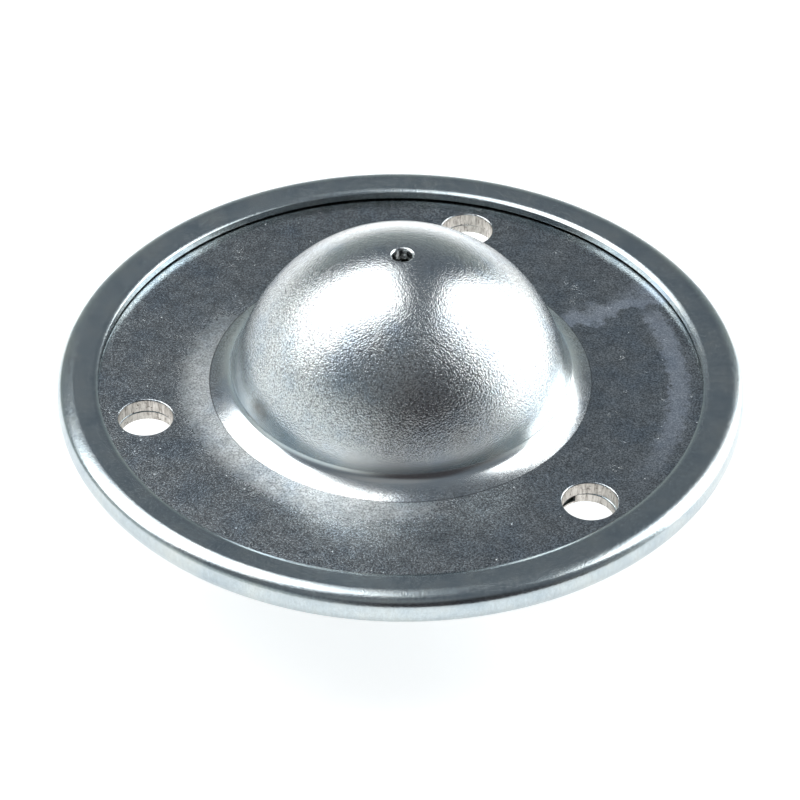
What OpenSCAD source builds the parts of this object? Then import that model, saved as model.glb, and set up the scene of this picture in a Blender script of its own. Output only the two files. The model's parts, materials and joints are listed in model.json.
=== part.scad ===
// Flange-mounted ball transfer unit, in millimetres.
// Two pressed sheets meet in the plane z = 0, and the load ball's centre lies in that plane on
// the Z axis. The drawn cup rises towards +Z, and the load ball shows on the other side.

/* [Flange] */
// Outside diameter over the rolled rim
flange_d = 70; // [68:0.5:90]
// Diameter of the circle through the screw holes
screw_circle_d = 53; // [50:0.5:55]
// Diameter of each screw hole
screw_hole_d = 5.5; // [4:0.1:6.5]
// Number of screw holes
screw_holes = 3; // [3:1:6]

/* [Cup plate] */
// Thickness of the cup plate's flat flange
plate_t = 1.4; // [1.2:0.05:2]
// Wall of the drawn cup, a little thinner than the flange
cup_wall = 1.25; // [0.9:0.05:1.8]
// Radius at the foot of the cup, where its outside runs into the flange
foot_r = 2.6; // [2:0.1:3.6]
// Lean of the cup's lower wall, in degrees from upright; above it the cup is a true sphere
wall_lean = 19; // [15:0.5:23]
// Diameter of the drain hole in the crown of the cup
drain_d = 2; // [1:0.1:3]
// Rounding of the punched edges on the cup side
edge_r = 0.3; // [0.15:0.05:0.5]

/* [Cover] */
// Thickness of the cover's sheet
cover_t = 1; // [0.7:0.05:1.3]
// Width of the rolled rim, from its outside to the free edge of its lip
rim_w = 4.15; // [3.8:0.05:5]
// Gap between the lip and the cup plate under it
lip_gap = 0.3; // [0.25:0.05:0.8]
// Inside radius of the rim's heel, where the flange turns up into it
heel_in_r = 0.9; // [0.5:0.1:0.9]
// Inside radius of the upper part of the rim's wall, which leans inwards
wall_in_r = 1.1; // [0.8:0.1:1.3]
// Inside radius of the rim's upper corner, pressed tight by the closing tool
corner_in_r = 0.1; // [0.05:0.05:0.3]
// Inside radius of the crown that leads from the corner into the flat lip
crown_in_r = 1.46; // [1.2:0.01:1.6]
// Radius of the rolled-over edge on top of the lip
lip_roll_r = 1.2; // [0.6:0.1:1.5]
// Outside radius of the cap's shoulder round the load ball
shoulder_r = 5.5; // [4:0.1:5.6]
// Radius between the cap and the cover's flange
cap_foot_r = 1.5; // [1:0.1:2.5]
// Depth of the mouth's inner edge below the centre of the load ball
mouth_depth = 6; // [5.6:0.1:7]

/* [Balls] */
// Diameter of the load ball
ball_d = 25.4; // [22:0.1:28]
// Diameter of each bearing ball
bearing_d = 3.175; // [2.5:0.005:3.4]

/* [Clearances] */
// Free play of a bearing ball between the load ball and the cup
race_gap = 0.05; // [0.02:0.01:0.15]
// Gap between neighbouring bearing balls
bearing_gap = 0.03; // [0.01:0.01:0.1]
// Gap between the outermost bearing balls and the wall of the cap
cap_gap = 0.3; // [0.2:0.05:0.6]
// Gap between the load ball and the mouth of the cap
mouth_gap = 0.25; // [0.15:0.05:0.4]
// Gap between the edge of the cup plate and the bend of the rim
edge_gap = 0.1; // [0.05:0.05:0.3]

/* [Hidden] */
$fn = 96;
cut = 1;                      // how far a cutter runs past the face it opens
graze = 0.0005;               // overlap that lets two tangent arcs cross cleanly
reach = 17;                   // how far the sides of a bend's sector run, past any radius here
overlap = 0.01;               // degrees by which the cap's shoulder runs into its foot

// Cup: a sphere for the race and one for the outside, both round the load ball's centre
ball_r = ball_d / 2;
race_r = ball_r + bearing_d + race_gap;
cup_r = race_r + cup_wall;

// Foot of the cup: the wall leaves both spheres straight, at its lean, and an arc on the cup side
// and a flare on the ball side lead it into the flange's faces
wall_out = [cos(wall_lean), sin(wall_lean)];
foot_z = plate_t + foot_r;
foot_x = (cup_r + foot_r - wall_out[1] * foot_z) / wall_out[0];
foot_c = [foot_x, foot_z];
flare_r = foot_r + plate_t;
flare_x = (race_r + flare_r - wall_out[1] * foot_z) / wall_out[0];
flare_c = [flare_x, foot_z];

// Rim of the cover: heel, wall, corner and crown run into each other, and a flat lip ends it over
// the cup plate. Each arc hands over to the next in one of these directions from its centre,
// whose sides are whole numbers so that the arcs meet exactly.
wall_way = [24, 7] / 25;
corner_way = [8, 15] / 17;
lip_roll_end = 130;
lip_z = plate_t + lip_gap;
lip_top = lip_z + cover_t;
lip_r = flange_d / 2 - rim_w;
heel_r = heel_in_r + cover_t;
wall_r = wall_in_r + cover_t;
corner_r = corner_in_r + cover_t;
crown_r = crown_in_r + cover_t;
corner_to_wall = (corner_r - wall_r) * wall_way;
crown_to_corner = (crown_r - corner_r) * corner_way;
crown_c = [flange_d / 2 - wall_r - corner_to_wall[0] - crown_to_corner[0], lip_top - crown_r];
corner_c = crown_c + crown_to_corner;
wall_c = corner_c + corner_to_wall;
heel_c = [flange_d / 2 - heel_r, heel_in_r];
lip_roll_c = [lip_r - lip_roll_r * cos(lip_roll_end), lip_top - lip_roll_r];
plate_r = heel_c[0] - edge_gap;

// Cap of the cover: foot arc and shoulder arc, tangent to each other, then the mouth
cap_r = race_r + cap_gap;
shoulder_in_r = shoulder_r - cover_t;
shoulder_c = [cap_r - shoulder_in_r, shoulder_in_r - mouth_depth];
cap_foot_z = -cover_t - cap_foot_r;
cap_foot_x = shoulder_c[0]
    + sqrt(pow(shoulder_r + cap_foot_r, 2) - pow(shoulder_c[1] - cap_foot_z, 2));
cap_foot_c = [cap_foot_x, cap_foot_z];
mouth_r = sqrt(pow(ball_r + mouth_gap, 2) - pow(mouth_depth, 2));

// Bearing balls: the first ring has three that meet at the crown, and the rings below it follow
// at one ball's width along the race
orbit_r = ball_r + (bearing_d + race_gap) / 2;
bearing_pitch = bearing_d + bearing_gap;
crown_balls = 3;
crown_angle = asin(bearing_pitch / (2 * sin(180 / crown_balls)) / orbit_r);
row_angle = 2 * asin(bearing_pitch / 2 / orbit_r);

// Point at distance d from a on the way to b
function toward(a, b, d) = a + (b - a) * d / norm(b - a);

// Direction from a to b, in degrees
function heading(a, b) = atan2(b[1] - a[1], b[0] - a[0]);

// Bent piece of sheet: ring sector round c between two radii, from angle a0 to a1, under 180
module bend(c, r_in, r_out, a0, a1) {
    middle = (a0 + a1) / 2;
    translate(c) intersection() {
        difference() {
            circle(r_out);
            circle(r_in);
        }
        polygon([[0, 0], reach * [cos(a0), sin(a0)], reach * [cos(middle), sin(middle)],
                 reach * [cos(a1), sin(a1)]]);
    }
}

// Drills the screw holes; the edge in the plane z = top is rounded as a punch leaves it
module screw_holes(top) {
    hole_r = screw_hole_d / 2;
    for (i = [0 : screw_holes - 1])
        rotate(90 + i * 360 / screw_holes)
            translate([screw_circle_d / 2, 0, 0])
                rotate_extrude()
                    difference() {
                        union() {
                            translate([0, -cover_t - cut])
                                square([hole_r, cover_t + top + 2 * cut]);
                            translate([0, top - edge_r])
                                square([hole_r + edge_r, edge_r + cut]);
                        }
                        translate([hole_r + edge_r, top - edge_r]) circle(edge_r);
                    }
}

// Section of the cup plate: a blank of flange and cup, cut back to its arcs
module cup_plate_section() {
    far = 2 * cup_r;
    drain_r = drain_d / 2;
    edge_x = drain_r + edge_r;
    edge_c = [edge_x, sqrt(pow(cup_r - edge_r, 2) - pow(edge_x, 2))];
    difference() {
        polygon([[drain_r, 0], [plate_r, 0], [plate_r, plate_t], [foot_x, plate_t], foot_c,
                 [foot_x, far], [drain_r, far]]);
        // outside of the cup, down its wall
        difference() {
            polygon([[0, 0], (cup_r - graze) * wall_out, foot_c - (foot_r + graze) * wall_out,
                     foot_c, [far, foot_z], [far, far + cut], [0, far + cut]]);
            circle(cup_r);
        }
        translate(foot_c) circle(foot_r + 2 * graze);
        // race, down its wall to the flare on the ball side
        circle(race_r);
        difference() {
            polygon([[0, 0], (race_r - graze) * wall_out, flare_c - (flare_r + graze) * wall_out,
                     flare_c, [flare_x, 0], [0, -cut]]);
            translate(flare_c) circle(flare_r + 2 * graze);
        }
        // rounded edge of the drain hole
        difference() {
            polygon([[0, edge_c[1]], edge_c, toward([0, 0], edge_c, cup_r), [0, far]]);
            translate(edge_c) circle(edge_r);
        }
    }
}

// Flange and drawn cup, pressed from one sheet
module cup_plate() {
    color("slategray") difference() {
        rotate_extrude() cup_plate_section();
        screw_holes(plate_t);
    }
}

// Section of the lip: flat, with the top of its free edge rolled over
module lip_section() {
    difference() {
        translate([lip_r, lip_z]) square([crown_c[0] - lip_r, cover_t]);
        difference() {
            polygon([lip_roll_c, lip_roll_c + [0, reach],
                     lip_roll_c + reach * [cos(lip_roll_end), sin(lip_roll_end)]]);
            translate(lip_roll_c) circle(lip_roll_r);
        }
    }
}

// Section of the cover: mouth, cap, flange, rolled rim and lip
module cover_section() {
    foot_end = (heading(cap_foot_c, shoulder_c) + 360) % 360;
    wall_end = heading([0, 0], wall_way);
    corner_end = heading([0, 0], corner_way);
    translate([mouth_r, -mouth_depth - cover_t]) square([shoulder_c[0] - mouth_r, cover_t]);
    bend(shoulder_c, shoulder_in_r, shoulder_r, -90, heading(shoulder_c, cap_foot_c) + overlap);
    bend(cap_foot_c, cap_foot_r, cap_foot_r + cover_t, 90, foot_end);
    translate([cap_foot_x, -cover_t]) square([heel_c[0] - cap_foot_x, cover_t]);
    bend(heel_c, heel_in_r, heel_r, -90, 0);
    translate([flange_d / 2 - cover_t, heel_c[1]]) square([cover_t, wall_c[1] - heel_c[1]]);
    bend(wall_c, wall_in_r, wall_r, 0, wall_end);
    bend(corner_c, corner_in_r, corner_r, wall_end, corner_end);
    bend(crown_c, crown_in_r, crown_r, corner_end, 90);
    lip_section();
}

// Ball-side sheet, its edge rolled over the cup plate
module cover() {
    color("lightsteelblue") difference() {
        rotate_extrude() cover_section();
        screw_holes(0);
    }
}

// Load ball
module load_ball() {
    color("gainsboro") sphere(ball_r);
}

// One ring of bearing balls, counted from the crown of the cup
module bearing_row(row) {
    angle = crown_angle + (row - 1) * row_angle;
    ring_r = orbit_r * sin(angle);
    count = row == 1 ? crown_balls : floor(180 / asin(bearing_pitch / 2 / ring_r));
    color("silver")
        for (i = [0 : count - 1])
            rotate(i * 360 / count)
                translate([ring_r, 0, orbit_r * cos(angle)])
                    sphere(bearing_d / 2, $fn = 32);
}

cup_plate();
cover();
load_ball();
bearing_row(1);  // bearing_row_1
bearing_row(2);  // bearing_row_2
bearing_row(3);  // bearing_row_3
bearing_row(4);  // bearing_row_4
bearing_row(5);  // bearing_row_5
bearing_row(6);  // bearing_row_6
bearing_row(7);  // bearing_row_7
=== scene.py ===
# %% [markdown]
# # A ball transfer unit
# Goods glide over a ball transfer unit in any direction. One large load ball carries them, and it
# rolls on a bed of small bearing balls in a drawn steel cup. Two pressed sheets hold it all: the
# cup plate, and a cover whose edge is rolled round the cup plate's flange. Here the unit lies on
# its load ball, so the cup shows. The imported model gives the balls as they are, and the two
# sheets are made again with the soft bends and edges that pressing gives them.

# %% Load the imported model
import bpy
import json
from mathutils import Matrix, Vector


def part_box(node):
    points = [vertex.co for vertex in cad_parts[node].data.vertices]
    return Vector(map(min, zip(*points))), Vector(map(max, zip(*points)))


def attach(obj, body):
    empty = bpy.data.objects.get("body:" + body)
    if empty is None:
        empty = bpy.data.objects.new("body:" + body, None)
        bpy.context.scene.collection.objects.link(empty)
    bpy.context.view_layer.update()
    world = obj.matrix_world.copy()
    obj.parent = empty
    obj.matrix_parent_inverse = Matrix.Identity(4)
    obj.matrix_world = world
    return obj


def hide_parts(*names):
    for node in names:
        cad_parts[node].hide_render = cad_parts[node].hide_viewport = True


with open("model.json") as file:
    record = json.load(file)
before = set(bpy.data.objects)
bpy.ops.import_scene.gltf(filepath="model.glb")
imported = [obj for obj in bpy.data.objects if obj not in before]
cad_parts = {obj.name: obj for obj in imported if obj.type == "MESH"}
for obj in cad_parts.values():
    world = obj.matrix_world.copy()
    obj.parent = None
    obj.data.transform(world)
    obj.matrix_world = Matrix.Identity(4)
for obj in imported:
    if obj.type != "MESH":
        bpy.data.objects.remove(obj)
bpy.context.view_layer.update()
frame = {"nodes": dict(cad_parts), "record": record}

# %% Blender and the unit of length
import json
import math

import bmesh
import bpy
from mathutils import Matrix, Quaternion, Vector

MM = 0.001

# %% [markdown]
# ## Sizes
# What the model can tell is read from it: the boxes of its nodes and the circle of screw holes.
# Thicknesses, bends and clearances aren't in a box, so each is written where it is first needed,
# and one that the part's source has too keeps its name. They could be measured on the model's
# mesh instead, but that would take far more lines for the same numbers.

# %% Sizes read from the model, in millimetres
FIRST_HOLE = 90  # degrees

ball_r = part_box("load_ball")[1].z / MM
flange_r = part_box("cover")[1].x / MM
lip_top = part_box("cover")[1].z / MM
plate_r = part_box("cup_plate")[1].x / MM
screws = next(m for m in frame["record"]["mounts"] if m["name"] == "screw_holes")
hole_r = screws["dims"]["hole_r_mm"]
hole_circle_r = screws["dims"]["pcd_mm"] / 2
hole_count = screws["dims"]["count"]
hole_angles = [FIRST_HOLE + 360 * i / hole_count for i in range(hole_count)]
print("ball", ball_r, "flange", flange_r, "holes", hole_r, "at", hole_circle_r, hole_angles)

# %% Sizes that both sheets share, in millimetres
plate_t = 1.4
cover_t = 1
bearing_d = 3.175
race_gap = 0.05

race_r = ball_r + bearing_d + race_gap
print("race", round(race_r, 3), "sheets", plate_t, "and", cover_t)

# %% [markdown]
# ## Turning a section
# Both sheets are round, so each is one closed outline in the (r, z) half-plane, turned about the
# Z axis. An outline is a list of points. Straight stretches need only their ends, and every bend
# is an arc with a point each few degrees, so that it still looks round in a close view. Blender's
# Screw modifier could turn the outline too, but a loop over rings of points closes the circle
# exactly and leaves plain four-sided faces.

# %% Arcs
ARC_STEP = 4  # degrees
SMALL_STEP = 9  # degrees, for edges that are only tenths of a millimetre round


def arc(centre, radius, start, end, step=ARC_STEP):
    """Points in the half-plane on an arc from one angle to another, in degrees."""
    count = max(2, round(abs(end - start) / step))
    angles = [math.radians(start + (end - start) * i / count) for i in range(count + 1)]
    return [(centre[0] + radius * math.cos(a), centre[1] + radius * math.sin(a)) for a in angles]


def heading(a, b):
    """Direction from a to b in the half-plane, in degrees."""
    return math.degrees(math.atan2(b[1] - a[1], b[0] - a[0]))


print("a quarter round has", len(arc((0, 0), 1, 0, 90)), "points")

# %% The lathe
TURNS = 288
WELD = 0.001  # mm, points nearer than this become one


def turn(name, outline, turns=TURNS):
    """Turns a closed outline about Z and returns it as an object."""
    mesh = bmesh.new()
    rings = []
    for i in range(turns):
        angle = math.tau * i / turns
        ring = [(r * math.cos(angle), r * math.sin(angle), z) for r, z in outline]
        rings.append([mesh.verts.new(Vector(point) * MM) for point in ring])
    for i in range(turns):
        here, there = rings[i - 1], rings[i]
        for j in range(len(outline)):
            mesh.faces.new((here[j - 1], there[j - 1], there[j], here[j]))
    bmesh.ops.remove_doubles(mesh, verts=mesh.verts, dist=WELD * MM)
    bmesh.ops.recalc_face_normals(mesh, faces=mesh.faces)
    data = bpy.data.meshes.new(name)
    mesh.to_mesh(data)
    mesh.free()
    piece = bpy.data.objects.new(name, data)
    bpy.context.scene.collection.objects.link(piece)
    print(name, "turned:", len(data.polygons), "faces")
    return piece


print("one step of the lathe is", 360 / TURNS, "degrees")

# %% [markdown]
# ## Punching the holes
# A punch goes through the flat blank and pulls the sheet's edge down a little where it enters, so
# the hole has a small rounding on that side and a plain sheared wall below it. A Bevel modifier
# could round the edge, but each edge would have to be picked for it. The punch here is a turned
# tool with that rounding cut into it, and a boolean takes it out of the sheet. The result is
# written back to the mesh, so that no tool stays behind in the scene.

# %% The punch
PUNCH_TURNS = 72
PUNCH_REACH = 2  # mm, how far a punch stands past the sheet
hole_edge_r = 0.16  # mm, rounding where the punch goes in


def punch_outline(radius, top, bottom):
    """Outline of a punch whose shoulder leaves a rounding at the height top."""
    rounding = arc((radius + hole_edge_r, top - hole_edge_r), hole_edge_r, 180, 90, SMALL_STEP)
    return [(0, bottom), (radius, bottom), *rounding, (radius + hole_edge_r, top + PUNCH_REACH),
            (0, top + PUNCH_REACH)]


def punches(radius, top, bottom, shifts):
    """One punch for each screw hole, moved from its place by its (x, y) shift."""
    tools = []
    for angle, (x, y) in zip(hole_angles, shifts):
        tool = turn("punch", punch_outline(radius, top, bottom), PUNCH_TURNS)
        turned = math.radians(angle)
        place = Vector((hole_circle_r * math.cos(turned) + x, hole_circle_r * math.sin(turned) + y, 0))
        tool.matrix_world = Matrix.Translation(place * MM)
        tools.append(tool)
    return tools


def punch(piece, tools):
    """Cuts the tools out of the piece and removes them."""
    for tool in tools:
        cut = piece.modifiers.new("punch", "BOOLEAN")
        cut.operation = "DIFFERENCE"
        cut.solver = "EXACT"
        cut.object = tool
    whole = piece.evaluated_get(bpy.context.evaluated_depsgraph_get())
    punched = bpy.data.meshes.new_from_object(whole)
    piece.modifiers.clear()
    piece.data = punched
    for tool in tools:
        bpy.data.objects.remove(tool)
    print(piece.name, "punched:", len(punched.polygons), "faces")


print("the punch rounds the edge by", hole_edge_r, "mm")

# %% [markdown]
# ## Soft bends, crisp edges
# A pressed sheet has round bends that run into dead flat faces. Smooth shading alone would bend
# the light on the flat faces too. Edges over 9 degrees are marked sharp, and a Weighted Normal
# modifier lets the large flat faces keep their own direction.

# %% Shading for sheet metal
SHARP = 9  # degrees
FLAT_LEAD = 100  # the most that the modifier can favour large faces


def shade_as_sheet(piece):
    """Smooth bends, sharp sheared edges and flat faces that stay flat to the light."""
    piece.data.shade_smooth()
    piece.data.set_sharp_from_angle(angle=math.radians(SHARP))
    weighted = piece.modifiers.new("flat faces lead", "WEIGHTED_NORMAL")
    weighted.keep_sharp = True
    weighted.weight = FLAT_LEAD


print("edges over", SHARP, "degrees stay sharp")

# %% [markdown]
# ## The cup plate
# One sheet, 1.4 mm thick, drawn into a half-round cup that stands on its flange. The drawing
# thins the wall a little. The race inside and the dome outside are spheres about the load ball's
# centre, and the wall leaves them straight, with a slight lean. At the foot a tight bend leads
# into a shallow skirt. The die's edge ends the skirt in a fine line, and outside that line the
# flange rises only a hair towards the cup. Underneath, one wide flare does the same work. The
# model has a plain rounding at this foot. It lies within a third of a millimetre of the skirt,
# but on bright metal only the skirt gives the crisp crescent of light that such a foot has.

# %% Sizes of the cup plate, in millimetres and degrees
# The first five are in the part's source too. The rest shape the foot for the light.
cup_wall = 1.25
wall_lean = 19
foot_r = 2.6
drain_r = 1
edge_r = 0.3

bend_r = 1.5
skirt_r = 9
skirt_turn = 18  # how steeply the skirt meets the fine line
foot_end_r = 19.5  # how far out the fine line lies
dish_turn = 5.5  # how steeply the flange meets it
dish_r = 34

cup_r = race_r + cup_wall
print("cup", round(cup_r, 3), "fine line round the foot at", foot_end_r)

# %% Bends round the foot of the cup
# The skirt stands on the end of the dish. The bend runs into it smoothly and touches the wall,
# and that settles how steep the skirt is where the bend takes over.


def tipped(turned):
    """Straight up in the half-plane, tipped outwards by an angle in degrees."""
    return Vector((math.sin(math.radians(turned)), math.cos(math.radians(turned))))


lean = math.radians(wall_lean)
wall_out = Vector((math.cos(lean), math.sin(lean)))
dish_c = Vector((foot_end_r + dish_r * tipped(dish_turn).x, plate_t + dish_r))
skirt_c = dish_c - dish_r * tipped(dish_turn) + skirt_r * tipped(skirt_turn)
bend_reach = (skirt_c.dot(wall_out) - cup_r - bend_r) / (skirt_r - bend_r)
bend_turn = math.degrees(math.asin(bend_reach)) - wall_lean
bend_c = skirt_c - (skirt_r - bend_r) * tipped(bend_turn)
flare_r = foot_r + plate_t
flare_c = ((race_r + flare_r - wall_out.y * flare_r) / wall_out.x, flare_r)
print("skirt from", skirt_turn, "up to", round(bend_turn, 1), "degrees")

# %% Outline of the cup plate
# The drain hole in the crown is punched from outside, so its edge there is rounded.
DOME_STEP = 2  # degrees
SKIRT_STEP = 2  # degrees
DISH_STEP = 0.3  # degrees
origin = (0, 0)

drain_c = (drain_r + edge_r, math.sqrt((cup_r - edge_r) ** 2 - (drain_r + edge_r) ** 2))
drain_end = heading(origin, (drain_r, math.sqrt(race_r**2 - drain_r**2)))
dish = arc(dish_c, dish_r, 270, 270 - dish_turn, DISH_STEP)
skirt = arc(skirt_c, skirt_r, 270 - skirt_turn, 270 - bend_turn, SKIRT_STEP)[1:]
bend = arc(bend_c, bend_r, 270 - bend_turn, 180 + wall_lean)[1:]
dome = arc(origin, cup_r, wall_lean, heading(origin, drain_c), DOME_STEP)
drain_edge = arc(drain_c, edge_r, heading(origin, drain_c), 180, SMALL_STEP)[1:]
race = arc(origin, race_r, drain_end, wall_lean, DOME_STEP)
flare = arc(flare_c, flare_r, 180 + wall_lean, 270)
cup_plate_outline = [(plate_r, 0), (plate_r, plate_t), *dish, *skirt, *bend, *dome, *drain_edge,
                     *race, *flare]
print("cup plate's outline:", len(cup_plate_outline), "points")

# %% Turn and punch the cup plate
cup_plate = turn("drawn_cup_plate", cup_plate_outline)
punch(cup_plate, punches(hole_r, plate_t, -PUNCH_REACH, [(0, 0)] * hole_count))
shade_as_sheet(cup_plate)
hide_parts("cup_plate")
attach(cup_plate, "housing")

# %% [markdown]
# ## The cover
# The other sheet is 1 mm thick. Its middle is pressed into a cap that keeps the balls in, with a
# mouth that lets a part of the load ball out. Its edge is rolled up and over the cup plate, and
# it ends in a lip. The free edge of the lip was sheared, has lost its sharpness and sags a little.
# It could be a flat sheet with a Solidify modifier, but the rim turns so tightly that both sides
# of the sheet are better drawn as arcs about the same centres.

# %% Sizes of the cover, in millimetres
rim_w = 4.15
lip_gap = 0.3
heel_in_r = 0.9
wall_in_r = 1.1
corner_in_r = 0.1
crown_in_r = 1.46
lip_roll_r = 1.2
shoulder_r = 5.5
cap_foot_r = 1.5
mouth_depth = 6
cap_gap = 0.3
mouth_gap = 0.25

cut_edge_r = 0.12  # what wear left of the sheared edges
lip_sag = 0.12  # how far the lip's free edge leans towards the cup plate
roll_turn = 125  # degrees, where the rolled edge on top of the lip ends

lip_z = plate_t + lip_gap
lip_r = flange_r - rim_w
print("lip from", lip_z, "to", round(lip_top, 2), "and in to", round(lip_r, 2))

# %% Bends of the cap and the mouth
cap_r = race_r + cap_gap
shoulder_in_r = shoulder_r - cover_t
shoulder_c = (cap_r - shoulder_in_r, shoulder_in_r - mouth_depth)
cap_foot_z = -cover_t - cap_foot_r
cap_foot_drop = shoulder_c[1] - cap_foot_z
cap_foot_c = (shoulder_c[0] + math.sqrt((shoulder_r + cap_foot_r) ** 2 - cap_foot_drop**2), cap_foot_z)
shoulder_end = heading(shoulder_c, cap_foot_c)
mouth_r = math.sqrt((ball_r + mouth_gap) ** 2 - mouth_depth**2)
print("cap", round(cap_r, 3), "mouth", round(mouth_r, 3))

# %% Bends of the rim
# The rim's arcs hand over to each other in these directions from their centres. The sides of
# each are whole numbers, so the arcs meet exactly.
wall_way = Vector((24, 7)) / 25
corner_way = Vector((8, 15)) / 17

wall_turn = heading(origin, wall_way)
corner_turn = heading(origin, corner_way)
wall_c = Vector((flange_r - wall_in_r - cover_t, 0))
corner_c = wall_c + (wall_in_r - corner_in_r) * wall_way
crown_c = corner_c - (crown_in_r - corner_in_r) * corner_way
rise = Vector((0, lip_z - crown_in_r - crown_c.y))
wall_c, corner_c, crown_c = wall_c + rise, corner_c + rise, crown_c + rise
heel_c = (flange_r - heel_in_r - cover_t, heel_in_r)
roll_c = (lip_r - lip_roll_r * math.cos(math.radians(roll_turn)), lip_top - lip_roll_r - lip_sag)
print("the rim's wall gives way to its corner at", round(wall_turn, 1), "degrees")


def rim(thickness):
    """The rim's arcs from the heel up to the lip, on one side of the sheet."""
    return [*arc(heel_c, heel_in_r + thickness, -90, 0),
            *arc(wall_c, wall_in_r + thickness, 0, wall_turn),
            *arc(corner_c, corner_in_r + thickness, wall_turn, corner_turn)[1:],
            *arc(crown_c, crown_in_r + thickness, corner_turn, 90)[1:]]


# %% Outline of the cover
mouth_edge_c = (mouth_r + cut_edge_r, cut_edge_r - mouth_depth - cover_t)
lip_edge_c = (lip_r + cut_edge_r, lip_z - lip_sag + cut_edge_r)
outside = [
    *arc(mouth_edge_c, cut_edge_r, 180, 270, SMALL_STEP),
    *arc(shoulder_c, shoulder_r, -90, shoulder_end),
    *arc(cap_foot_c, cap_foot_r, 180 + shoulder_end, 90)[1:],
    *rim(cover_t),
    *arc(roll_c, lip_roll_r, 90, roll_turn),
]
inside = [
    *arc(lip_edge_c, cut_edge_r, 180, 270, SMALL_STEP),
    *reversed(rim(0)),
    *arc(cap_foot_c, cap_foot_r + cover_t, 90, 180 + shoulder_end),
    *arc(shoulder_c, shoulder_in_r, shoulder_end, -90)[1:],
    (mouth_r, -mouth_depth),
]
print("cover's outline:", len(outside + inside), "points")

# %% Turn and punch the cover
# The two sheets were punched apart and rolled together, so the cover's holes are a little wider
# than the cup plate's and sit a little off them. One of them has a nick in its edge.
HOLE_SPARE = 0.03  # mm
HOLE_SHIFTS = [(0.12, 0.05), (0.1, -0.08), (-0.22, -0.12)]  # mm
NICK_PLACE = Vector((-2.5, 1.75, 0))  # mm from the hole's axis
NICK_R = 0.95  # mm
NICK_FROM, NICK_TO = -0.8, 0.2  # mm, heights

cover = turn("rolled_cover", outside + inside)
tools = punches(hole_r + HOLE_SPARE, 0, -cover_t - PUNCH_REACH, HOLE_SHIFTS)
nick = turn("nick", [(0, NICK_FROM), (NICK_R, NICK_FROM), (NICK_R, NICK_TO), (0, NICK_TO)], PUNCH_TURNS)
nick.matrix_world = Matrix.Translation(tools[-1].matrix_world.translation + NICK_PLACE * MM)
punch(cover, [*tools, nick])
shade_as_sheet(cover)
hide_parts("cover")
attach(cover, "housing")

# %% [markdown]
# ## Colours and nodes
# Colours are sRGB hex codes, as in a paint program, and a shader wants linear light, so one
# function turns them. One more adds a node with its settings and what feeds it, and hands back
# the output that the next node needs. A span is what a Map Range node is told: the range that a
# value goes through and the one that comes out. Image textures could give the same marks, but
# patterns worked out in the shader stay sharp in every close view.

# %% Helpers for materials
SMOOTH = {"interpolation_type": "SMOOTHSTEP"}


def linear(code):
    """sRGB hex, such as #c0c6ca, as linear red, green, blue and alpha."""
    parts = [int(code[i : i + 2], 16) / 255 for i in (1, 3, 5)]
    return tuple(p / 12.92 if p <= 0.04045 else ((p + 0.055) / 1.055) ** 2.4 for p in parts) + (1,)


def add(tree, kind, inputs=(), out=None, stops=(), **settings):
    """Adds a node; each input gets a value, or the output that feeds it. Returns one output."""
    node = tree.nodes.new("ShaderNode" + kind)
    for name, value in settings.items():
        setattr(node, name, value)
    for i, (position, code) in enumerate(stops):
        ramp = node.color_ramp.elements
        element = ramp[i] if i < 2 else ramp.new(position)
        element.position = position
        element.color = linear(code)
    for name, value in dict(inputs).items():
        fitting = [s for s in node.inputs if s.enabled and s.name == name]
        socket = fitting[0] if fitting else node.inputs[name]
        if isinstance(value, bpy.types.NodeSocket):
            tree.links.new(value, socket)
        else:
            socket.default_value = value
    return next((s for s in node.outputs if s.enabled and out in (None, s.name)), None)


def span(low, high, to_low=0, to_high=1):
    """The range that a value goes through and the one that comes out."""
    return {"From Min": low, "From Max": high, "To Min": to_low, "To Max": to_high}


print("middle grey in linear light:", round(linear("#808080")[0], 3))

# %% A new metal


def metal(name):
    """A new metal with the default IOR: its material, tree, surface and the place it shades."""
    material = bpy.data.materials.new(name)
    material.use_nodes = True
    surface = material.node_tree.nodes["Principled BSDF"]
    surface.inputs["Metallic"].default_value = 1
    place = add(material.node_tree, "TexCoord", out="Object")
    return material, material.node_tree, surface, place


print("a new metal starts fully metallic, at the default IOR")

# %% [markdown]
# ## Zinc-plated drawn steel
# Cold-rolled sheet, drawn in a press and plated with bright zinc under a clear blue passivation.
# To the eye that is a cool, silvery metal with hints of blue and green. The stretched dome shows
# the grain of the steel as a fine orange peel. The die pressed the skirt at the foot smooth. The
# flange was never stretched, so it kept the flat, finely mottled face of the rolled sheet, and it has
# the specks, hairlines and drying marks of a part that was plated and tipped in a bin. Dome, foot
# and flange could be three materials, but one sheet of metal has no seams. So it is one material,
# and masks worked out from the distance to the axis say which finish shows where.

# %% Where the dome, the foot and the flange lie
# The blank slipped more over the die on one side, and there the sheet round the foot is matt.
DOME_FADE = (16 * MM, 17 * MM)
FOOT_FADE = (16.3 * MM, 17.2 * MM)
SHEET_FADE = (19.45 * MM, 19.6 * MM)
MATT_FADE = (20 * MM, 24 * MM)
MATT_WAY = (-0.64, -0.77, 0)
MATT_SIDE = (0.1, 0.95)  # how much of a direction points along MATT_WAY
CREASE_SHADE_FADE = (0.02 * MM, 0.09 * MM)

drawn, tree, surface, place = metal("zinc_plated_drawn_steel")
x, y, z = (add(tree, "SeparateXYZ", {"Vector": place}, out=axis) for axis in "XYZ")
level = add(tree, "VectorMath", {0: place, 1: (1, 1, 0)}, operation="MULTIPLY")
radius = add(tree, "VectorMath", {0: level}, operation="LENGTH")
angle = add(tree, "Math", {0: y, 1: x}, operation="ARCTAN2")

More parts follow.
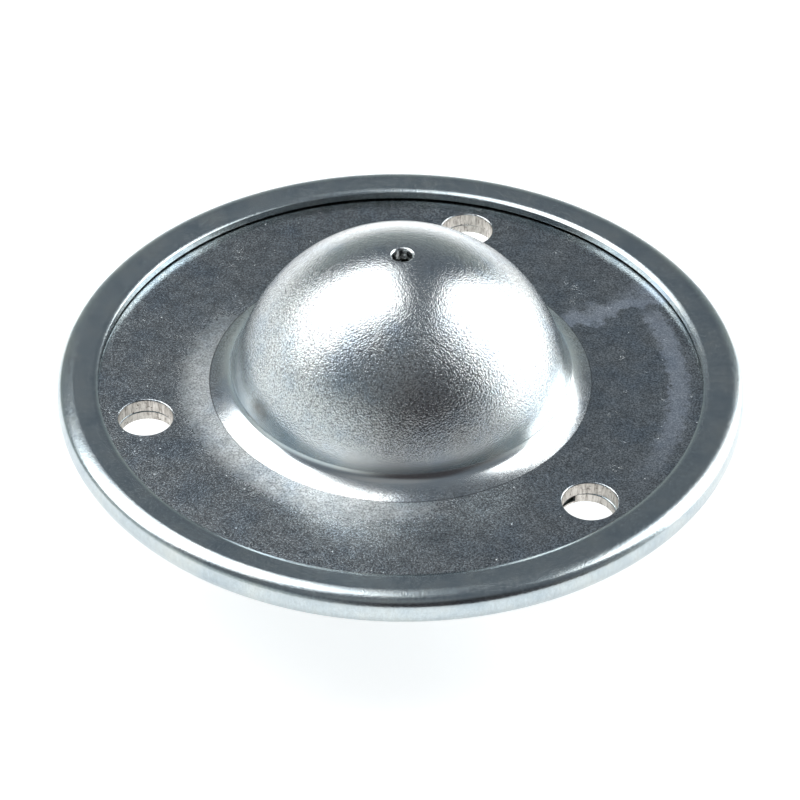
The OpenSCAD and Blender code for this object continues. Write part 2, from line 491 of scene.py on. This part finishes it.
on_dome = add(tree, "MapRange", {"Value": radius, **span(*DOME_FADE, 1, 0)}, **SMOOTH)
on_sheet = add(tree, "MapRange", {"Value": radius, **span(*SHEET_FADE)}, **SMOOTH)
past_dome = add(tree, "MapRange", {"Value": radius, **span(*FOOT_FADE)}, **SMOOTH)
before_sheet = add(tree, "MapRange", {"Value": radius, **span(*SHEET_FADE, 1, 0)}, **SMOOTH)
on_foot = add(tree, "Math", {0: past_dome, 1: before_sheet}, operation="MULTIPLY")
by_foot = add(tree, "MapRange", {"Value": radius, **span(*MATT_FADE, 1, 0)}, **SMOOTH)
outward = add(tree, "VectorMath", {0: level}, operation="NORMALIZE")
matt_side = add(tree, "VectorMath", {0: outward, 1: MATT_WAY}, operation="DOT_PRODUCT")
matt_side = add(tree, "MapRange", {"Value": matt_side, **span(*MATT_SIDE)}, **SMOOTH)
matt = add(tree, "Math", {0: by_foot, 1: matt_side}, operation="MULTIPLY")
# painted shade: a thin band along the fine line round the foot, for the shade in its crease
crease_shade = add(tree, "Math", {0: radius, 1: foot_end_r * MM}, operation="SUBTRACT")
crease_shade = add(tree, "Math", {0: crease_shade}, operation="ABSOLUTE")
crease_shade = add(tree, "MapRange", {"Value": crease_shade, **span(*CREASE_SHADE_FADE, 1, 0)}, **SMOOTH)
print("dome, foot and flange told apart by radius:", len(tree.nodes), "nodes")

# %% The puddle that dried on the flange
# Rinse water dried near the rim, on one side, and left a pale blue-grey film with a ragged edge.
PUDDLE_IN = (26.9 * MM, 27.8 * MM)
PUDDLE_OUT = (28.9 * MM, 30 * MM)
PUDDLE_START = (math.radians(-25), math.radians(5))
PUDDLE_END = (math.radians(36), math.radians(42))
RAGGED = 0.7 * MM
RAGGED_REACH = 1.6 * MM

ragged = add(tree, "TexNoise", {"Vector": place, "Scale": 1 / RAGGED, "Detail": 3, "Roughness": 0.7})
edge = add(tree, "MapRange", {"Value": ragged, **span(0, 1, -RAGGED_REACH, RAGGED_REACH)})
wet_r = add(tree, "Math", {0: radius, 1: edge}, operation="ADD")
inner = add(tree, "MapRange", {"Value": wet_r, **span(*PUDDLE_IN)}, **SMOOTH)
outer = add(tree, "MapRange", {"Value": wet_r, **span(*PUDDLE_OUT, 1, 0)}, **SMOOTH)
puddle = add(tree, "Math", {0: inner, 1: outer}, operation="MULTIPLY")
start = add(tree, "MapRange", {"Value": angle, **span(*PUDDLE_START)}, **SMOOTH)
end = add(tree, "MapRange", {"Value": angle, **span(*PUDDLE_END, 1, 0)}, **SMOOTH)
puddle = add(tree, "Math", {0: puddle, 1: start}, operation="MULTIPLY")
puddle = add(tree, "Math", {0: puddle, 1: end}, operation="MULTIPLY")
print("puddle from", round(math.degrees(PUDDLE_START[0])), "to", round(math.degrees(PUDDLE_END[1])))

# %% Its last trickle
# It ran in to the foot, swaying a little, and left a wider, fainter film.
TRICKLE_START = (math.radians(39), math.radians(41))
TRICKLE_END = (math.radians(44), math.radians(50))
WAVY = 3 * MM
SWAY = math.radians(8)

wavy = add(tree, "TexNoise", {"Vector": place, "Scale": 1 / WAVY, "Detail": 4, "Roughness": 0.6})
sway = add(tree, "MapRange", {"Value": wavy, **span(0, 1, -SWAY, SWAY)})
wet_angle = add(tree, "Math", {0: angle, 1: sway}, operation="ADD")
start = add(tree, "MapRange", {"Value": wet_angle, **span(*TRICKLE_START)}, **SMOOTH)
end = add(tree, "MapRange", {"Value": wet_angle, **span(*TRICKLE_END, 1, 0)}, **SMOOTH)
trickle = add(tree, "Math", {0: start, 1: end}, operation="MULTIPLY")
trickle = add(tree, "Math", {0: trickle, 1: on_sheet}, operation="MULTIPLY")
film = add(tree, "Math", {0: puddle, 1: trickle}, operation="MAXIMUM")
print("trickle from", round(math.degrees(TRICKLE_START[0])), "to", round(math.degrees(TRICKLE_END[1])))

# %% Patterns in the drawn steel
GRAIN = 0.18 * MM  # orange peel on the stretched dome
MOTTLE = 0.17 * MM  # mottling of the flat sheet; the real one is half as coarse and wouldn't show
CLOUD = 5 * MM  # faint clouds in the passivation
STAIN = 1.6 * MM  # darker patches in the mottling

peel = add(tree, "TexNoise", {"Vector": place, "Scale": 1 / GRAIN, "Detail": 2, "Roughness": 0.6})
mottle = add(tree, "TexNoise", {"Vector": place, "Scale": 1 / MOTTLE, "Detail": 2, "Roughness": 0.6})
cloud = add(tree, "TexNoise", {"Vector": place, "Scale": 1 / CLOUD, "Detail": 4, "Roughness": 0.6})
stain = add(tree, "TexNoise", {"Vector": place, "Scale": 1 / STAIN, "Detail": 4, "Roughness": 0.7})
print("clouds every", round(CLOUD / MM, 2), "mm, mottling every", round(MOTTLE / MM, 2), "mm")

# %% Tone of the flange and the skirt
# The middle of a noise is stretched to its full contrast, because its ends hardly ever occur.
SPECKLE_DARK = 0.42
PATCH_DARK = 0.8
SKIRT_SPECKLED = 0.8  # how much of the flange's tone the skirt takes on, at most

speckle = add(tree, "MapRange", {"Value": mottle, **span(0.36, 0.64, SPECKLE_DARK, 1)})
patch = add(tree, "MapRange", {"Value": stain, **span(0.35, 0.6, PATCH_DARK, 1)}, **SMOOTH)
sheet_tone = add(tree, "Math", {0: speckle, 1: patch}, operation="MULTIPLY")
toned_from = add(tree, "MapRange", {"Value": radius, **span(17.6 * MM, 19 * MM, 0, SKIRT_SPECKLED)},
                 **SMOOTH)
toned_from = add(tree, "Math", {0: toned_from, 1: on_sheet}, operation="MAXIMUM")
sheet_tone = add(tree, "Mix", {"Factor": toned_from, "A": 1.0, "B": sheet_tone})
print("the flange's specks keep", SPECKLE_DARK, "of the plating's light")

# %% Painted shade in the dome's pits and in the fine line round the foot
# The peel is strongest half way up, where the sheet was stretched most. It fades at the foot and
# at the crown. Its low places are painted darker than the plating, as painted shade in its pits.
FOOT_STRETCH = 0.35
CROWN_STRETCH = 0.45
PIT_SHADE = 0.45
CREASE_SHADE_DARK = 0.55

low = add(tree, "MapRange", {"Value": z, **span(3 * MM, 8.5 * MM, FOOT_STRETCH, 1)}, **SMOOTH)
crown = add(tree, "MapRange", {"Value": z, **span(13 * MM, 16.5 * MM, 1, CROWN_STRETCH)}, **SMOOTH)
stretched = add(tree, "Math", {0: low, 1: crown}, operation="MULTIPLY")
stretched = add(tree, "Math", {0: stretched, 1: on_dome}, operation="MULTIPLY")
# painted shade: the low places of the peel are made darker in the colour
pit_shade = add(tree, "MapRange", {"Value": peel, **span(0.3, 0.6, PIT_SHADE, 1)}, **SMOOTH)
dome_pit_shade = add(tree, "Mix", {"Factor": stretched, "A": 1.0, "B": pit_shade})
tone = add(tree, "Math", {0: sheet_tone, 1: dome_pit_shade}, operation="MULTIPLY")
# the fine line's crease gets painted shade, darker in the colour
crease_shade_tone = add(tree, "MapRange", {"Value": crease_shade, **span(0, 1, 1, CREASE_SHADE_DARK)})
tone = add(tree, "Math", {0: tone, 1: crease_shade_tone}, operation="MULTIPLY")
print("the dome's pits keep", PIT_SHADE, "of it and the fine line", CREASE_SHADE_DARK)

# %% Colour of the drawn steel
PLATING = [(0.32, "#c6d1d9"), (0.5, "#d5dbdd"), (0.68, "#d9dddd")]
FILM = "#b9c8e0"
FILM_COVER = 0.32
FILM_METAL = 0.82  # the film is chalky, so it takes a little off the metal's shine

plating = add(tree, "ValToRGB", {"Fac": cloud}, stops=PLATING)
toned = add(tree, "Mix", {"Factor": 1.0, "A": plating, "B": tone}, data_type="RGBA", blend_type="MULTIPLY")
film_cover = add(tree, "Math", {0: film, 1: FILM_COVER}, operation="MULTIPLY")
filmed = add(tree, "Mix", {"Factor": film_cover, "A": toned, "B": linear(FILM)}, data_type="RGBA")
tree.links.new(filmed, surface.inputs["Base Color"])
chalky = add(tree, "MapRange", {"Value": film, **span(0, 1, 1, FILM_METAL)})
tree.links.new(chalky, surface.inputs["Metallic"])
print("plating", [code for _, code in PLATING], "under a film of", FILM)

# %% Gloss of the drawn steel
DOME_GLOSS = (0.13, 0.19)
SHEET_GLOSS = (0.17, 0.24)
MATT_GLOSS = 0.45
FOOT_GLOSS = 0.2

dome_gloss = add(tree, "MapRange", {"Value": cloud, **span(0.3, 0.7, *DOME_GLOSS)})
sheet_gloss = add(tree, "MapRange", {"Value": mottle, **span(0.3, 0.7, *SHEET_GLOSS)})
sheet_gloss = add(tree, "Mix", {"Factor": matt, "A": sheet_gloss, "B": MATT_GLOSS})
gloss = add(tree, "Mix", {"Factor": on_sheet, "A": dome_gloss, "B": sheet_gloss})
gloss = add(tree, "Mix", {"Factor": on_foot, "A": gloss, "B": FOOT_GLOSS})
tree.links.new(gloss, surface.inputs["Roughness"])
print("roughness from", DOME_GLOSS[0], "on the dome to", MATT_GLOSS, "on the matt side")

# %% Relief of the peel and the mottling
PEEL_HIGH = 0.066 * MM
MOTTLE_HIGH = 0.012 * MM

peel_high = add(tree, "Math", {0: stretched, 1: PEEL_HIGH}, operation="MULTIPLY")
peeled = add(tree, "Bump", {"Height": peel, "Distance": peel_high})
mottle_high = add(tree, "Math", {0: on_sheet, 1: MOTTLE_HIGH}, operation="MULTIPLY")
rolled = add(tree, "Bump", {"Height": mottle, "Distance": mottle_high, "Normal": peeled})
print("peel", round(PEEL_HIGH / MM, 3), "mm and mottling", round(MOTTLE_HIGH / MM, 3), "mm high")

# %% Specks dented into the flange
# One cell in four of a Voronoi pattern gets a small dent round its heart.
DENT_EVERY = 1.1 * MM
DENT_HIGH = 0.02 * MM
DENT_EDGE = (0.04, 0.13)  # in cells
DENT_PICK = (0.72, 0.76)

dents = {"Vector": place, "Scale": 1 / DENT_EVERY}
deep = add(tree, "MapRange", {"Value": add(tree, "TexVoronoi", dents), **span(*DENT_EDGE, 1, 0)}, **SMOOTH)
pick = add(tree, "SeparateColor", {"Color": add(tree, "TexVoronoi", dents, out="Color")}, out="Red")
pick = add(tree, "MapRange", {"Value": pick, **span(*DENT_PICK)})
dent = add(tree, "Math", {0: deep, 1: pick}, operation="MULTIPLY")
dent_high = add(tree, "Math", {0: on_sheet, 1: DENT_HIGH}, operation="MULTIPLY")
dented = add(tree, "Bump", {"Height": dent, "Distance": dent_high, "Normal": rolled})
print("a place for a dent every", round(DENT_EVERY / MM, 2), "mm")

# %% Hairlines on the flange
# A noise passes through its middle value along thin winding lines. Here and there, where a
# second noise is high, they show as hairlines.
HAIR_WIND = 2.2 * MM
HAIR_EVERY = 2.6 * MM
HAIR_THIN = 0.004
HAIR_HIGH = 0.006 * MM
HAIR_PICK = (0.65, 0.7)

path = add(tree, "TexNoise", {"Vector": place, "Scale": 1 / HAIR_WIND, "Detail": 3, "Roughness": 0.7})
path = add(tree, "Math", {0: path, 1: 0.5}, operation="SUBTRACT")
path = add(tree, "Math", {0: path}, operation="ABSOLUTE")
hairline = add(tree, "MapRange", {"Value": path, **span(0, HAIR_THIN, 1, 0)}, **SMOOTH)
here = add(tree, "TexNoise", {"Vector": place, "Scale": 1 / HAIR_EVERY, "Detail": 1})
here = add(tree, "MapRange", {"Value": here, **span(*HAIR_PICK)}, **SMOOTH)
hairline = add(tree, "Math", {0: hairline, 1: here}, operation="MULTIPLY")
hairline = add(tree, "Math", {0: hairline, 1: on_sheet}, operation="MULTIPLY")
scuffed = add(tree, "Bump", {"Height": hairline, "Distance": HAIR_HIGH, "Normal": dented})
tree.links.new(scuffed, surface.inputs["Normal"])
print(drawn.name, len(tree.nodes), "nodes")

# %% [markdown]
# ## Zinc-plated rolled steel
# The cover has the same plating on a smoother sheet. The rollers that closed the rim polished it
# and left a fine, slightly rough skin with faint score lines across it. The lines could be drawn
# from the angle about the axis, but that angle runs together at the middle. A noise that is
# looked up on the rim's circle keeps them equally wide all the way round.

# %% Patterns in the rolled steel
SCORE = 0.3 * MM  # between the score lines
SCORE_LONG = 0.3  # the noise is looked up this much slower along the sheet's section
SKIN = 0.18 * MM  # fine roughness of the rolled skin
HAZE = 4 * MM  # faint clouds in the passivation

rim_steel, tree, surface, place = metal("zinc_plated_rolled_steel")
z = add(tree, "SeparateXYZ", {"Vector": place}, out="Z")
level = add(tree, "VectorMath", {0: place, 1: (1, 1, 0)}, operation="MULTIPLY")
radius = add(tree, "VectorMath", {0: level}, operation="LENGTH")
outward = add(tree, "VectorMath", {0: level}, operation="NORMALIZE")
around = add(tree, "VectorMath", {0: outward, "Scale": flange_r * MM}, operation="SCALE")
across = add(tree, "Math", {0: radius, 1: z}, operation="SUBTRACT")
across = add(tree, "Math", {0: across, 1: SCORE_LONG}, operation="MULTIPLY")
score_at = add(tree, "VectorMath", {0: around, 1: add(tree, "CombineXYZ", {"Z": across})})
scores = add(tree, "TexNoise", {"Vector": score_at, "Scale": 1 / SCORE, "Detail": 2, "Roughness": 0.7})
skin = add(tree, "TexNoise", {"Vector": place, "Scale": 1 / SKIN, "Detail": 2, "Roughness": 0.6})
haze = add(tree, "TexNoise", {"Vector": place, "Scale": 1 / HAZE, "Detail": 4, "Roughness": 0.6})
print("score lines every", round(SCORE / MM, 2), "mm")

# %% Colour, gloss and relief of the rolled steel
ROLLED_PLATING = [(0.3, "#a9b5bb"), (0.5, "#b6c0c3"), (0.7, "#c0c7c6")]
SCORE_DARK = 0.93
SKIN_DARK = 0.9
ROLLED_GLOSS = (0.19, 0.26)
SKIN_HIGH = 0.013 * MM
SCORE_HIGH = 0.003 * MM

plating = add(tree, "ValToRGB", {"Fac": haze}, stops=ROLLED_PLATING)
score_tone = add(tree, "MapRange", {"Value": scores, **span(0.35, 0.65, SCORE_DARK, 1)})
skin_tone = add(tree, "MapRange", {"Value": skin, **span(0.36, 0.64, SKIN_DARK, 1)})
tone = add(tree, "Math", {0: score_tone, 1: skin_tone}, operation="MULTIPLY")
toned = add(tree, "Mix", {"Factor": 1.0, "A": plating, "B": tone}, data_type="RGBA", blend_type="MULTIPLY")
tree.links.new(toned, surface.inputs["Base Color"])
gloss = add(tree, "MapRange", {"Value": skin, **span(0.3, 0.7, *ROLLED_GLOSS)})
tree.links.new(gloss, surface.inputs["Roughness"])
rough = add(tree, "Bump", {"Height": skin, "Distance": SKIN_HIGH})
lined = add(tree, "Bump", {"Height": scores, "Distance": SCORE_HIGH, "Normal": rough})
tree.links.new(lined, surface.inputs["Normal"])
print(rim_steel.name, len(tree.nodes), "nodes")

# %% [markdown]
# ## Sheared steel
# The punch sheared the holes' walls. Their upper part is smeared bright and the rest is torn and
# dull, with streaks down the way of the punch. Little zinc reached it, so it is a warmer grey.
# A noise that is squeezed along Z gives the streaks, which run straight down on every wall.

# %% The holes' walls
STREAK = 0.22 * MM
STREAK_LONG = 0.15  # the noise is looked up this much slower down the wall
TEAR = 0.35 * MM
SHEARED = [(0.32, "#8f8a84"), (0.5, "#c2bdb6"), (0.7, "#d9d5cf")]
TORN = "#6e6862"
TEAR_HIGH = 0.04 * MM
STREAK_HIGH = 0.03 * MM

sheared, tree, surface, place = metal("sheared_steel")
squeezed = add(tree, "VectorMath", {0: place, 1: (1, 1, STREAK_LONG)}, operation="MULTIPLY")
streaks = add(tree, "TexNoise", {"Vector": squeezed, "Scale": 1 / STREAK, "Detail": 3, "Roughness": 0.7})
torn = add(tree, "TexNoise", {"Vector": place, "Scale": 1 / TEAR, "Detail": 4, "Roughness": 0.7})
wall = add(tree, "ValToRGB", {"Fac": streaks}, stops=SHEARED)
stained = add(tree, "MapRange", {"Value": torn, **span(0.56, 0.66)}, **SMOOTH)
stained = add(tree, "Mix", {"Factor": stained, "A": wall, "B": linear(TORN)}, data_type="RGBA")
tree.links.new(stained, surface.inputs["Base Color"])
gloss = add(tree, "MapRange", {"Value": streaks, **span(0.3, 0.7, 0.5, 0.34)})
tree.links.new(gloss, surface.inputs["Roughness"])
ripped = add(tree, "Bump", {"Height": torn, "Distance": TEAR_HIGH})
streaked = add(tree, "Bump", {"Height": streaks, "Distance": STREAK_HIGH, "Normal": ripped})
tree.links.new(streaked, surface.inputs["Normal"])
print(sheared.name, len(tree.nodes), "nodes")

# %% Put the finishes on the sheets
HOLE_ZONE = (22.5 * MM, 30 * MM)  # the screw holes lie between these distances from the axis
UPRIGHT = 0.3  # a wall's normal rises less than this


def finish(piece, sheet):
    """Gives a piece its plating, and the sheared finish on the upright walls of its holes."""
    piece.data.materials.clear()
    piece.data.materials.append(sheet)
    piece.data.materials.append(sheared)
    walls = 0
    for face in piece.data.polygons:
        upright = abs(face.normal.z) < UPRIGHT
        face.material_index = int(upright and HOLE_ZONE[0] < face.center.xy.length < HOLE_ZONE[1])
        walls += face.material_index
    print(piece.name, "has", walls, "sheared faces")


finish(cup_plate, drawn)
finish(cover, rim_steel)

# %% [markdown]
# ## Ball steel
# Bearing balls and the load ball are hardened carbon steel, ground and polished. They mirror
# like glass, with only the finest marks from rolling. The model's balls are smooth enough to be
# seen as they are, so they keep their own meshes and only get this finish.

# %% The balls
MARKS = 1.5 * MM
BALL_COLOUR = "#c6c6c4"
BALL_GLOSS = (0.05, 0.11)

polished, tree, surface, place = metal("polished_ball_steel")
marks = add(tree, "TexNoise", {"Vector": place, "Scale": 1 / MARKS, "Detail": 6, "Roughness": 0.7})
surface.inputs["Base Color"].default_value = linear(BALL_COLOUR)
gloss = add(tree, "MapRange", {"Value": marks, **span(0.35, 0.65, *BALL_GLOSS)})
tree.links.new(gloss, surface.inputs["Roughness"])
balls = [node for name, node in frame["nodes"].items() if name not in ("cup_plate", "cover")]
for ball in balls:
    for slot in ball.material_slots:
        slot.material = polished
print(len(balls), "nodes of balls in", polished.name)

# %% [markdown]
# ## Floor and surroundings
# Shiny metal shows its surroundings, so they are half of its look: a white table, a dark room
# above it, and two large soft lamps. The table and the room are darker towards the viewer, who
# stands in front of the part. A ready-made room would light the metal too, but here
# every bright or dark patch can be moved until it falls where it should on the dome.

# %% Places as the viewer counts them
CAMERA_AZIMUTH = 15.2  # degrees


def seen(right, away, up):
    """A place or direction as the viewer counts it, in metres, turned to the part's frame."""
    return Matrix.Rotation(math.radians(CAMERA_AZIMUTH), 3, "Z") @ Vector((right, away, up))


SHADED = seen(0.42, -0.91, 0)
print("the shaded side lies towards", [round(c, 2) for c in SHADED])

# %% The table
TABLE_R = 3  # m
TABLE_SIDES = 96

floor_mesh = bmesh.new()
bmesh.ops.create_circle(floor_mesh, cap_ends=True, radius=TABLE_R, segments=TABLE_SIDES)
floor_data = bpy.data.meshes.new("floor")
floor_mesh.to_mesh(floor_data)
floor_mesh.free()
floor = bpy.data.objects.new("floor", floor_data)
bpy.context.scene.collection.objects.link(floor)
floor.location.z = -ball_r * MM
print("table at", round(floor.location.z / MM, 2), "mm, where the load ball ends")

# %% White laminate of the table
# The camera sees it a little brighter than the lamps make it, and the metal mirrors a table that
# is pale near the part and falls dark towards the viewer. From below it is clear.
TABLE_PAINT = "#e6e6e6"
TABLE_LIGHT = "#ffffff"
FLOOR_GLOW = 0.6
MIRRORED_GLOW = 0.7
SHADE_AWAY = (0.05, 0.35)  # m from the part
SHADE_SIDE = (0.35, 0.95)  # how much of a direction points to the shaded side

table = bpy.data.materials.new("white_laminate")
table.use_nodes = True
tree = table.node_tree
tree.nodes.clear()
spot = add(tree, "TexCoord", out="Object")
far = add(tree, "VectorMath", {0: spot}, operation="LENGTH")
far = add(tree, "MapRange", {"Value": far, **span(*SHADE_AWAY)}, **SMOOTH)
way = add(tree, "VectorMath", {0: spot}, operation="NORMALIZE")
front = add(tree, "VectorMath", {0: way, 1: SHADED}, operation="DOT_PRODUCT")
front = add(tree, "MapRange", {"Value": front, **span(*SHADE_SIDE)}, **SMOOTH)
shade = add(tree, "Math", {0: far, 1: front}, operation="MULTIPLY")
mirrored_glow = add(tree, "MapRange", {"Value": shade, **span(0, 1, MIRRORED_GLOW, 0)})
in_mirror = add(tree, "LightPath", out="Is Glossy Ray")
mirrored = add(tree, "Math", {0: in_mirror, 1: mirrored_glow}, operation="MULTIPLY")
in_camera = add(tree, "LightPath", out="Is Camera Ray")
direct = add(tree, "Math", {0: in_camera, 1: FLOOR_GLOW}, operation="MULTIPLY")
glow = add(tree, "Math", {0: mirrored, 1: direct}, operation="MAXIMUM")
paint = add(tree, "BsdfDiffuse", {"Color": linear(TABLE_PAINT)})
light = add(tree, "Emission", {"Color": linear(TABLE_LIGHT), "Strength": glow})
both = add(tree, "AddShader", {0: paint, 1: light})
below = add(tree, "NewGeometry", out="Backfacing")
shown = add(tree, "MixShader", {0: below, 1: both, 2: add(tree, "BsdfTransparent")})
add(tree, "OutputMaterial", {"Surface": shown})
floor_data.materials.append(table)
print(table.name, len(tree.nodes), "nodes")

# %% Colours of the room
# A pale horizon all round, darker where the viewer stands, under a dim grey ceiling that the
# lamps brighten above the viewer's head. They are amounts of light, so they are linear already.
HORIZON = (0.9, 0.96, 0.95, 1)
HORIZON_BEHIND = (0.4, 0.44, 0.43, 1)
HORIZON_SHADED = (0.1, 0.092, 0.094, 1)
CEILING = (0.16, 0.18, 0.205, 1)
VIEWER = (0.06, 0.054, 0.057, 1)
LIT_CEILING = (0.3, 0.31, 0.32, 1)
WHITE = (1, 1, 1, 1)

# Each patch: the way to its heart, and how well a direction agrees with it at its edge and core.
viewer_patch = (seen(0.25, -1, 0.45), (0.8, 0.97), VIEWER)
ceiling_patch = (seen(-0.1, -0.55, 0.85), (0.9, 0.99), LIT_CEILING)
print("the viewer's patch lies towards", [round(c, 2) for c in viewer_patch[0]])

# %% The room
ROOM_SHADE = (0.35, 0.97)
ROOM_BEHIND = (-0.3, 0.5)
ROOM_HIGH = (0.1, 0.55)

world = bpy.data.worlds.new("studio")
bpy.context.scene.world = world
world.use_nodes = True
tree = world.node_tree
tree.nodes.clear()
way = add(tree, "TexCoord", out="Generated")
height = add(tree, "SeparateXYZ", {"Vector": way}, out="Z")
front = add(tree, "VectorMath", {0: way, 1: SHADED}, operation="DOT_PRODUCT")
front = add(tree, "MapRange", {"Value": front, **span(*ROOM_SHADE)}, **SMOOTH)
behind = add(tree, "VectorMath", {0: way, 1: seen(0, 1, 0)}, operation="DOT_PRODUCT")
behind = add(tree, "MapRange", {"Value": behind, **span(*ROOM_BEHIND)}, **SMOOTH)
horizon = add(tree, "Mix", {"Factor": behind, "A": HORIZON, "B": HORIZON_BEHIND}, data_type="RGBA")
horizon = add(tree, "Mix", {"Factor": front, "A": horizon, "B": HORIZON_SHADED}, data_type="RGBA")
high = add(tree, "MapRange", {"Value": height, **span(*ROOM_HIGH)}, **SMOOTH)
room = add(tree, "Mix", {"Factor": high, "A": horizon, "B": CEILING}, data_type="RGBA")
for heart, fade, tint in (viewer_patch, ceiling_patch):
    near = add(tree, "VectorMath", {0: way, 1: heart.normalized()}, operation="DOT_PRODUCT")
    near = add(tree, "MapRange", {"Value": near, **span(*fade)}, **SMOOTH)
    room = add(tree, "Mix", {"Factor": near, "A": room, "B": tint}, data_type="RGBA")
direct = add(tree, "LightPath", out="Is Camera Ray")
room = add(tree, "Mix", {"Factor": direct, "A": room, "B": WHITE}, data_type="RGBA")
add(tree, "OutputWorld", {"Surface": add(tree, "Background", {"Color": room})})
print("world:", len(tree.nodes), "nodes")

# %% [markdown]
# ## Lamps
# Two softboxes, one on each side, give the dome its two large highlights with a dark gap between
# them. Small lamps would only leave glints on metal this smooth. Each is a rectangular area lamp,
# set by how bright its face is, so that its size can change without its highlight getting dimmer.

# %% The softboxes


def softbox(name, centre, aim, up, width, height, radiance):
    """A rectangular area lamp at centre that faces aim; up is the direction of its height."""
    lamp = bpy.data.lights.new(name, "AREA")
    lamp.shape = "RECTANGLE"
    lamp.size = width
    lamp.size_y = height
    lamp.energy = radiance * math.pi * width * height
    made = bpy.data.objects.new(name, lamp)
    bpy.context.scene.collection.objects.link(made)
    back = (centre - aim).normalized()
    across = up.cross(back).normalized()
    rise = back.cross(across)
    made.matrix_world = Matrix.Translation(centre) @ Matrix((across, rise, back)).transposed().to_4x4()
    print(name, "shines with", round(lamp.energy, 2), "W")


softbox("softbox_left", centre=seen(-0.52, 0.22, 0.57), aim=seen(-0.345, 0.2, 0),
        up=seen(-0.134, 0.988, -0.074), width=0.97, height=0.54, radiance=4)
softbox("softbox_right", centre=seen(0.5, 0.24, 0.46), aim=seen(0, 0.24, 0.46),
        up=seen(0, 0, 1), width=0.56, height=0.94, radiance=4.2)

# %% [markdown]
# ## Camera
# A long lens from a little over a third of a metre, looking down on the cup. The camera is placed
# from the point that it aims at, by an angle over the level and a distance, because those are
# easier to think in than three coordinates. A Track To constraint could aim it, but the aim is
# worked out once here, with the slight roll that the view has.

# %% The camera
LENS = 153.8  # mm
SENSOR = 36  # mm
CAMERA_AIM = Vector((0.334, -1.395, -0.347))  # mm
CAMERA_HEIGHT = 39.39  # degrees over the level
CAMERA_AWAY = 349.1  # mm
CAMERA_ROLL = 0.65  # degrees
CLIP_NEAR, CLIP_FAR = 0.01, 20  # m

camera_data = bpy.data.cameras.new("camera")
camera_data.lens = LENS
camera_data.sensor_width = SENSOR
camera_data.clip_start = CLIP_NEAR
camera_data.clip_end = CLIP_FAR
camera = bpy.data.objects.new("camera", camera_data)
bpy.context.scene.collection.objects.link(camera)
bpy.context.scene.camera = camera
aim = CAMERA_AIM * MM
tilt = math.radians(CAMERA_HEIGHT)
camera.location = aim + seen(0, -math.cos(tilt), math.sin(tilt)) * CAMERA_AWAY * MM
camera.rotation_mode = "QUATERNION"
level_view = (aim - camera.location).to_track_quat("-Z", "Y")
camera.rotation_quaternion = level_view @ Quaternion((0, 0, 1), math.radians(CAMERA_ROLL))
bpy.context.scene.view_settings.view_transform = "Standard"
print("camera at", [round(c, 4) for c in camera.location])
